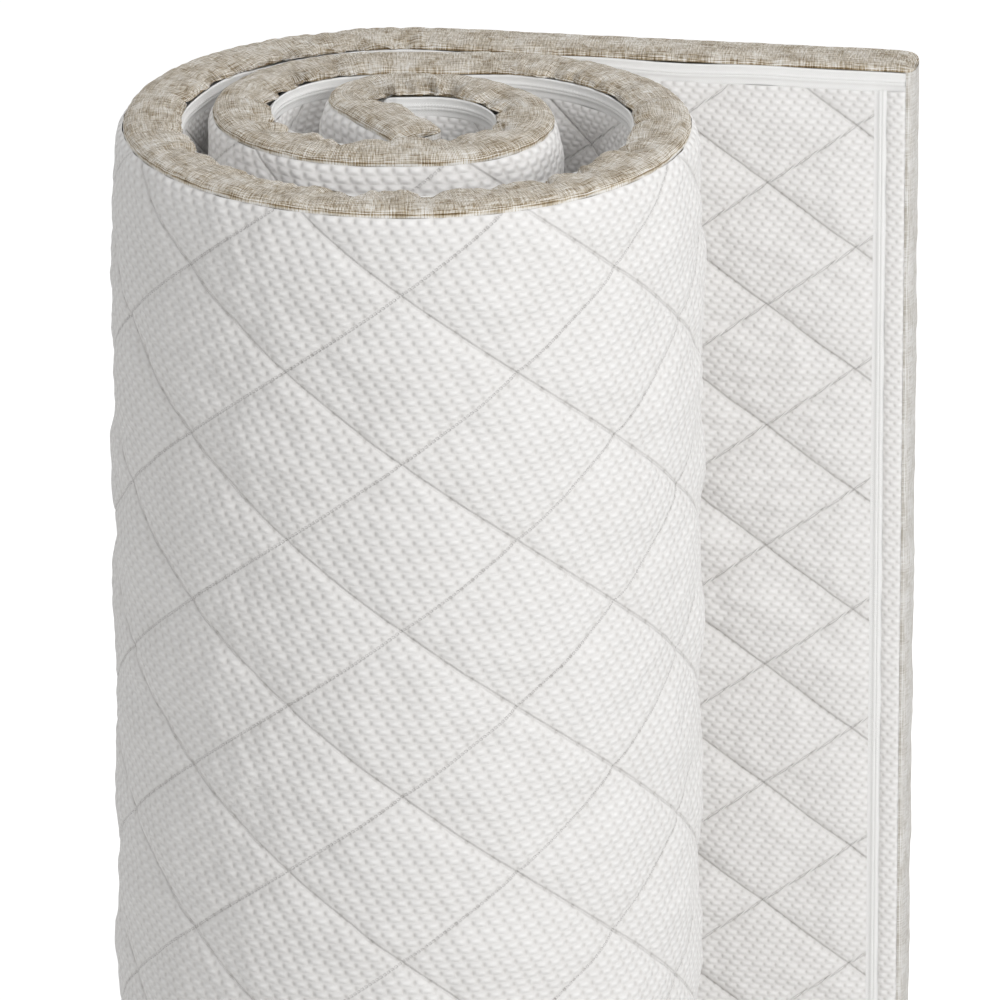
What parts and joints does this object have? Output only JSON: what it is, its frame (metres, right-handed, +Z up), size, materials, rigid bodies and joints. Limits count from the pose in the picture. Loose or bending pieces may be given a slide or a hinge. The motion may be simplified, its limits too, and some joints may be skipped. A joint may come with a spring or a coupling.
{
  "type": "pressure relief mattress",
  "caption": "Thin foam pressure relief mattress in a quilted knit cover with a woven border and a zip, loosely rolled and stood on its long edge, one end lying free.",
  "frame": {"origin": "on the ground, under the middle of the bounding box of the standing roll", "axes": "+Z up along the roll's axis, which is the mattress's width; +X towards the loose end; -Y is the front, the side that shows the loose end's zip"},
  "size_m": [0.5188, 0.367, 0.9],
  "materials": {
    "foam": "open-cell viscoelastic foam, pale cream, matte",
    "quilted_panel": "white waffle-knit polyester quilted in diamonds over wadding, matte",
    "border": "beige melange woven upholstery cloth, matte",
    "zip_tape": "white woven polyester zip tape with a white nylon coil",
    "zip_metal": "white lacquered die-cast zinc, satin"
  },
  "bodies": {
    "roll": {"roll_foam_core": "foam", "roll_outer_panel": "quilted_panel", "roll_inner_panel": "quilted_panel", "roll_top_border": "border", "roll_bottom_border": "border", "roll_end_border": "border", "roll_top_zip": "zip_tape", "roll_bottom_zip": "zip_tape", "roll_end_zip": "zip_tape"},
    "loose_end": {"loose_foam_core": "foam", "loose_outer_panel": "quilted_panel", "loose_inner_panel": "quilted_panel", "loose_top_border": "border", "loose_bottom_border": "border", "loose_end_border": "border", "loose_top_zip": "zip_tape", "loose_bottom_zip": "zip_tape", "loose_end_zip": "zip_tape"},
    "slider": {"zip_slider": "zip_metal"},
    "puller": {"zip_puller": "zip_metal"}
  },
  "joints": [
    {"name": "unroll", "type": "hinge", "parent": "roll", "child": "loose_end", "pos_m": [-0.04676, 0.1815, 0.45], "axis": [0, 0, 1], "range_deg": [0, 90]},
    {"name": "zip_travel", "type": "slide", "parent": "loose_end", "child": "slider", "axis": [0, 0, 1], "range_m": [-0.1594, 0.6594]},
    {"name": "puller_swing", "type": "hinge", "parent": "slider", "child": "puller", "pos_m": [0.23152, 0.09298, 0.2], "axis": [-0.9877, 0.1564, 0], "range_deg": [0, 165]}
  ]
}
